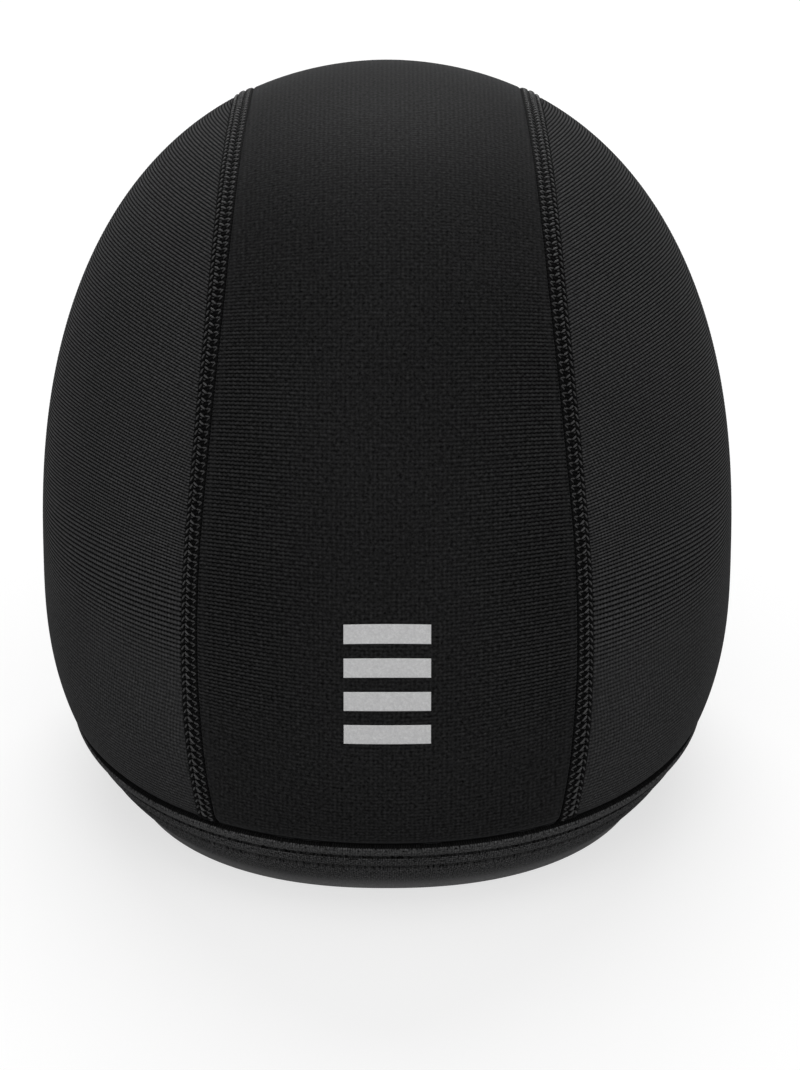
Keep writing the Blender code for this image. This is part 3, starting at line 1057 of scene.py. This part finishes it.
class CAP_OT_seams(bpy.types.Operator):
    """Laps and stitches the two flatlocked seams"""
    bl_idname = "liner_cap.seams"
    bl_label = "Seams"

    def execute(self, context):
        seams = context.scene.liner_cap_seams
        lapped = knit_material(
            "Seam Cloth",
            # Seam cloth yarn, painted shade for its grooves, and the colour of its rubbed edges
            (seams.cloth_colour, (0.0015, 0.0015, 0.0016), (0.014, 0.014, 0.0145)),
            {"Course Depth": 0.5, "Wale Depth": 0.3, "Loop Slant": 0.5, "Grain Depth": 0.5,
             "Grain Scale": 3000.0},
            {"Clouding": 0.4, "Lint": 0.10, "Smooth": 0.60, "Rough": 0.85},
            bump=0.00008, sheen=0.02, gloss=0.04)
        thread = thread_material("Flatlock Thread", seams.thread_colour)
        for side, label in SIDES:
            self.strip(seams, side, label, lapped)
            self.stitches(seams, side, label, thread)
        return {"FINISHED"}

    def surface(self, seams, turn, from_middle):
        """Points and normals of the seam's form, with its crown and its two stitch channels."""
        points = fan_points(seam_across(turn, from_middle), turn)
        share = (from_middle - LAP_SHIFT) / (LAP_WIDTH / 2)
        rise = seams.crown * (1 - CROWN_FALL * share ** 2)
        for middle in CHANNEL_MIDDLES:
            rise = rise - dipped(from_middle - middle, CHANNEL)
        normal = outward(points)
        return points + normal * rise[..., None], normal

    def strip(self, seams, side, label, finish):
        """The lapped cloth of one seam, puckered by its stitches."""
        turn, length = even_turns(seam_line, seams.stitch_pitch / ROWS_PER_PITCH)
        inner_shares = np.linspace(0.84, -0.84, 25)
        share = np.concatenate([LAP_EDGE_SHARES, inner_shares, -LAP_EDGE_SHARES[::-1]])
        from_middle = LAP_SHIFT + share * LAP_WIDTH / 2
        points, normal = self.surface(seams, turn[:, None], from_middle[None, :])
        stitch = length[:, None] / seams.stitch_pitch
        pucker = PUCKER * np.cos(2 * pi * (stitch + 0.35 * share)) * (1 - share ** 4)
        edge_distance = LAP_WIDTH / 2 * (1 - np.abs(share))
        end_distance = np.minimum(length, length[-1] - length)[:, None]
        dip = dipped(edge_distance, LAP_EDGE) + dipped(end_distance, LAP_END)
        outer = points + normal * (pucker - dip)[..., None]
        wear_and_painted_light = 0.2 * near_edge(edge_distance - 0.0004, 0.0002)
        outer_knit = knit_field(from_middle / SEAM_WALE, stitch * 2, wear_and_painted_light)
        rough_turn, rough_length = even_turns(seam_line, INSIDE_SPACING)
        rough_turn = rough_turn[:, None]
        from_shift = LAP_WIDTH / 2 * np.linspace(1, -1, 5)
        inner = fan_points(seam_across(rough_turn, LAP_SHIFT + from_shift), rough_turn)
        rough_stitch = rough_length[:, None] / seams.stitch_pitch
        inner_knit = knit_field(from_shift / SEAM_WALE, rough_stitch * 2, 0.0)
        grids = (outer, raised(inner, seams.crown * 0.6 - SEAM_THICKNESS))
        mesh = cloth_shell(f"seam_{label}", grids, (outer_knit, inner_knit), side=side)
        link(f"seam_lap_{label}", mesh, finish, [f"seam_{label}"])

    def stitches(self, seams, side, label, finish):
        """Five rows of thread: needle stitches, long and short crossing ones, and hooks."""
        turn, length = even_turns(seam_line, 0.0005)
        pitch = seams.stitch_pitch
        count = int((length[-1] - END_MARGIN) / pitch)
        start = FIRST_STITCH + np.arange(count)[:, None] * pitch
        random = np.random.default_rng(SEAM_SEEDS[label])
        share = np.linspace(0, 1, 6)
        rows = []
        for row in STITCH_ROWS:
            jitter = random.normal(0, 0.00004, (count, 1))
            along = start + row.shift * pitch + row.run * pitch * share + jitter
            stray = random.normal(0, 0.00003, (count, 1))
            from_middle = row.start + (row.end - row.start) * share + stray
            points, normal = self.surface(seams, np.interp(along, length, turn), from_middle)
            rise = row.lift * arch(share, 0.6) - THREAD_SINK * seams.thread_radius
            radius = seams.thread_radius * row.thickness * (0.45 + 0.55 * arch(share, 0.4))
            radii = np.broadcast_to(radius, (count, len(share)))
            tones = row.tone * random.uniform(0.75, 1.2, count)
            rows.append((points + normal * rise[:, None], normal, radii, tones))
        paths, lifts, radii, tones = [np.concatenate(parts) for parts in zip(*rows)]
        mirror = [side, 1, 1]
        mesh = threads(f"stitches_{label}", paths * mirror, lifts * mirror, radii, tones)
        link(f"seam_stitches_{label}", mesh, finish)


class CAP_OT_hem(bpy.types.Operator):
    """Rolls, ribs and stitches the elastic hem band"""
    bl_idname = "liner_cap.hem"
    bl_label = "Hem Band"

    def execute(self, context):
        hem = context.scene.liner_cap_hem
        bearing, length = round_head(0.008)
        ribs = int(round(length[-1] / hem.rib_pitch))
        wale = np.arange(2 * ribs) / 2
        at = np.interp(wale / ribs * length[-1], length, bearing)
        heights = np.concatenate([np.linspace(*stretch) for stretch in HEM_STRETCHES])
        rise = smooth_through(HEM_HEIGHTS, HEM_RISES, heights)
        rise[0] = 0.0
        heights = np.append(heights, FLANGE_HEIGHTS)
        rise = np.append(rise, FLANGE_RISES)
        calm = np.clip(heights / RIBS_FULL, 0, 1) * (heights < RIBS_END)
        rib = hem.rib_relief * (np.arange(2 * ribs) % 2 - 0.5) * calm[:, None]
        outer = raised(level_points(heights[:, None], at), rise[:, None] + rib)
        outer[0, :, 2] = 0.0
        # Paler along the roll's top, and painted light from the floor on the band's foot
        wear_and_painted_light = 0.10 * near_edge(heights - 0.0156, 0.0008) + 0.80 * near_edge(heights, 0.0032)
        # The flange gets painted shade: a whole course and the full shade tone paint it near black
        flange = heights > HEM_HEIGHT
        course = np.where(flange, FLANGE_SHADE_COURSE, heights / HEM_COURSE)
        relief_and_shade = np.where(flange, PAINTED_FULL_SHADE, 0.25)
        # Painted shade line in each groove: a whole course and a deep tone
        for low, high, shade in HEM_SHADE_LINES:
            shaded_groove = (heights > low) & (heights < high)
            course[shaded_groove] = round(low / HEM_COURSE)
            relief_and_shade[shaded_groove] = shade
        outer_knit = knit_field(wale, course[:, None], wear_and_painted_light[:, None])
        rough_at = np.linspace(0, 2 * pi, 97)[:-1]
        rough_heights = np.array([0.0, 0.004, 0.008, 0.012, 0.016, 0.0200])[:, None]
        inner = level_points(rough_heights, rough_at)
        inner = inner - outward(inner) * HEM_THICKNESS * [1, 1, 0]
        inner_knit = knit_field(ribs * rough_at / (2 * pi), rough_heights / HEM_COURSE, 0.0)
        mesh = cloth_shell(
            "hem", (outer, inner), (outer_knit, inner_knit), relief_and_shade[:, None],
            ring=True, wrap=float(ribs))
        finish = knit_material(
            "Hem Elastic",
            # Elastic yarn, painted shade for its grooves, groove lines and flange, and a pale colour
            # mixed in along the roll's top and as painted light on the band's foot
            (hem.colour, (0.0012, 0.0012, 0.0013), (0.25, 0.25, 0.252)),
            {"Course Depth": 0.20, "Wale Depth": 0.4, "Loop Slant": 0.4, "Grain Depth": 0.8,
             "Grain Scale": 1300.0, "Loop Variation": 2.7},
            {"Clouding": 0.9, "Lint": 0.12, "Smooth": 0.60, "Rough": 0.85},
            bump=0.00010, sheen=0.05, gloss=0.04)
        link("hem_elastic_band", mesh, finish, ["hem_band"])
        self.stitches(hem, thread_material("Hem Thread", (0.010, 0.010, 0.0105)))
        return {"FINISHED"}

    def stitches(self, hem, finish):
        """Two rows of stitches sunk in the band's grooves."""
        random = np.random.default_rng(HEM_SEED)
        share = np.linspace(0, 1, 5)
        rows = []
        for height in HEM_GROOVES:
            bearing, length = round_head(height)
            count = int(round(length[-1] / hem.stitch_pitch))
            start = np.arange(count)[:, None] / count * length[-1]
            at = np.interp(start + HEM_STITCH * hem.stitch_pitch * share, length, bearing)
            points = level_points(height + random.normal(0, 0.00005, (count, 1)), at)
            normal = outward(points)
            groove = smooth_through(HEM_HEIGHTS, HEM_RISES, np.array([height]))[0]
            rise = groove + 0.00022 * arch(share, 0.6) - 0.00010
            tones = random.uniform(0.7, 1.3, count)
            rows.append((points + normal * rise[:, None], normal, tones))
        paths, lifts, tones = [np.concatenate(parts) for parts in zip(*rows)]
        radius = HEM_THREAD * (0.5 + 0.5 * arch(share, 0.4))
        mesh = threads("hem_stitches", paths, lifts, radius, tones)
        link("hem_stitch_rows", mesh, finish)


class CAP_OT_bars(bpy.types.Operator):
    """Lays the reflective film bars over the rear of the centre panel"""
    bl_idname = "liner_cap.bars"
    bl_label = "Reflective Bars"

    def execute(self, context):
        bars = context.scene.liner_cap_bars
        finish = film_material("Reflective Film", bars.colour, bars.fleck_colour)
        turn = np.linspace(0, 0.5, 4001)
        length = lengths_along(fan_points(middle_line(turn), turn))
        along = edged_shares(bars.height, FILM_EDGE_STEPS, 14)[:, None]
        across = edged_shares(bars.width, FILM_EDGE_STEPS, 46)
        edge = np.minimum(
            bars.height * np.minimum(along, 1 - along),
            bars.width * np.minimum(across, 1 - across))
        across = bars.width * (0.5 - across)
        for number in range(1, bars.count + 1):
            start = BAR_START + (number - 1) * BAR_PITCH
            rows = np.interp(start + bars.height * along, length, turn)
            outer = raised(fan_points(across, rows), FILM_TOP - dipped(edge, FILM_EDGE))
            ends = np.linspace(rows[0], rows[-1], 4)
            inner = raised(fan_points(np.linspace(across[0], across[-1], 9), ends), FILM_BASE)
            knits = (np.zeros_like(outer), np.zeros_like(inner))
            mesh = cloth_shell(f"film_bar_{number}", (outer, inner), knits)
            link(f"film_bar_{number}", mesh, finish, [f"reflective_bar_{number}"])
        return {"FINISHED"}


class CAP_OT_stage(bpy.types.Operator):
    """Sets the floor, the soft studio light and the camera"""
    bl_idname = "liner_cap.stage"
    bl_label = "Stage"

    def execute(self, context):
        stage = context.scene.liner_cap_stage
        self.floor(context.scene, stage)
        self.lights(context.scene, stage)
        self.camera(context.scene, stage)
        context.scene.view_settings.view_transform = "Standard"
        return {"FINISHED"}

    def floor(self, scene, stage):
        """A wide plain floor that looks white to the camera."""
        mesh = bpy.data.meshes.new("studio_floor")
        corners = ((-1, -1), (1, -1), (1, 1), (-1, 1))
        points = [(FLOOR_REACH * x, FLOOR_REACH * y, -FLOOR_DROP) for x, y in corners]
        mesh.from_pydata(points, [], [(0, 1, 2, 3)])
        finish, make, shader = new_material("Studio Floor")
        make.fill(shader, {
            "Base Color": opaque(stage.floor_colour),
            "Roughness": 0.9,
            "Specular IOR Level": 0.0,
            "Emission Color": (1.0, 1.0, 1.0, 1.0),
            "Emission Strength": make.seen(stage.table_light, stage.glow),
        })
        mesh.materials.append(finish)
        ground = bpy.data.objects.new("studio_floor", mesh)
        scene.collection.objects.link(ground)

    def lights(self, scene, stage):
        """A wide screen and fill light from the studio round the cap, and a soft lamp."""
        world = bpy.data.worlds.new("Studio")
        scene.world = world
        world.use_nodes = True
        make = Nodes(world.node_tree)
        sight = make.add("ShaderNodeTexCoord").outputs["Generated"]
        toward = {0: sight, 1: SCREEN_DIRECTION}
        facing = make.add("ShaderNodeVectorMath", toward, operation="DOT_PRODUCT")
        wide = make.math("POWER", make.math("MAXIMUM", facing.outputs["Value"], 0.0), 2.0)
        light = make.math("MULTIPLY_ADD", wide, stage.screen, stage.sky)
        background = world.node_tree.nodes["Background"]
        make.fill(background, {"Color": (1.0, 1.0, 1.0, 1.0), "Strength": make.seen(light, 1.0)})
        lamp = bpy.data.lights.new("back_light", "SUN")
        lamp.energy = stage.lamp
        lamp.angle = LAMP_SPREAD
        high = bpy.data.objects.new("back_light", lamp)
        scene.collection.objects.link(high)
        high.rotation_mode = "QUATERNION"
        high.rotation_quaternion = Vector(LAMP_DIRECTION).to_track_quat("Z", "Y")

    def camera(self, scene, stage):
        """The photograph's view, from behind and a little above."""
        lens = bpy.data.cameras.new("photo_camera")
        lens.sensor_fit = "AUTO"
        lens.sensor_width = 36.0
        lens.lens = LENS
        eye = bpy.data.objects.new("photo_camera", lens)
        scene.collection.objects.link(eye)
        back = Vector((0.0, cos(stage.elevation), sin(stage.elevation)))
        up = Vector((0.0, -sin(stage.elevation), cos(stage.elevation)))
        across = Vector((1.0, 0.0, 0.0))
        place = CAP_MIDDLE + back * stage.distance
        target = CAP_MIDDLE - AIM_PIXELS[0] * PIXEL * across - AIM_PIXELS[1] * PIXEL * up
        eye.location = place
        eye.rotation_euler = (target - place).to_track_quat("-Z", "Y").to_euler()
        scene.camera = eye


class CAP_PT_panel(bpy.types.Panel):
    """Sizes and colours of the cap, and a button for each step of its making"""
    bl_idname = "CAP_PT_panel"
    bl_label = "Helmet Liner Cap"
    bl_space_type = "VIEW_3D"
    bl_region_type = "UI"
    bl_category = "Liner Cap"

    def draw(self, context):
        for operator, settings in STEPS:
            box = self.layout.box()
            values = getattr(context.scene, settings)
            for key in values.bl_rna.properties.keys():
                if key not in ("rna_type", "name"):
                    box.prop(values, key)
            box.operator(operator.bl_idname)


STEPS = (
    (CAP_OT_center_panel, "liner_cap_knit"),
    (CAP_OT_side_panels, "liner_cap_knit"),
    (CAP_OT_seams, "liner_cap_seams"),
    (CAP_OT_hem, "liner_cap_hem"),
    (CAP_OT_bars, "liner_cap_bars"),
    (CAP_OT_stage, "liner_cap_stage"),
)
SETTINGS = (
    ("liner_cap_knit", CapKnit),
    ("liner_cap_seams", CapSeams),
    ("liner_cap_hem", CapHem),
    ("liner_cap_bars", CapBars),
    ("liner_cap_stage", CapStage),
)


def register():
    for name, group in SETTINGS:
        bpy.utils.register_class(group)
        setattr(bpy.types.Scene, name, PointerProperty(type=group))
    for operator, _ in STEPS:
        bpy.utils.register_class(operator)
    bpy.utils.register_class(CAP_PT_panel)


def unregister():
    bpy.utils.unregister_class(CAP_PT_panel)
    for operator, _ in reversed(STEPS):
        bpy.utils.unregister_class(operator)
    for name, group in reversed(SETTINGS):
        delattr(bpy.types.Scene, name)
        bpy.utils.unregister_class(group)


def main():
    register()
    dressed = bpy.data.collections.new(COLLECTION)
    bpy.context.scene.collection.children.link(dressed)
    bpy.ops.liner_cap.stage()
    bpy.ops.liner_cap.center_panel()
    bpy.ops.liner_cap.side_panels()
    bpy.ops.liner_cap.seams()
    bpy.ops.liner_cap.hem()
    bpy.ops.liner_cap.bars()


if __name__ == "__main__":
    main()
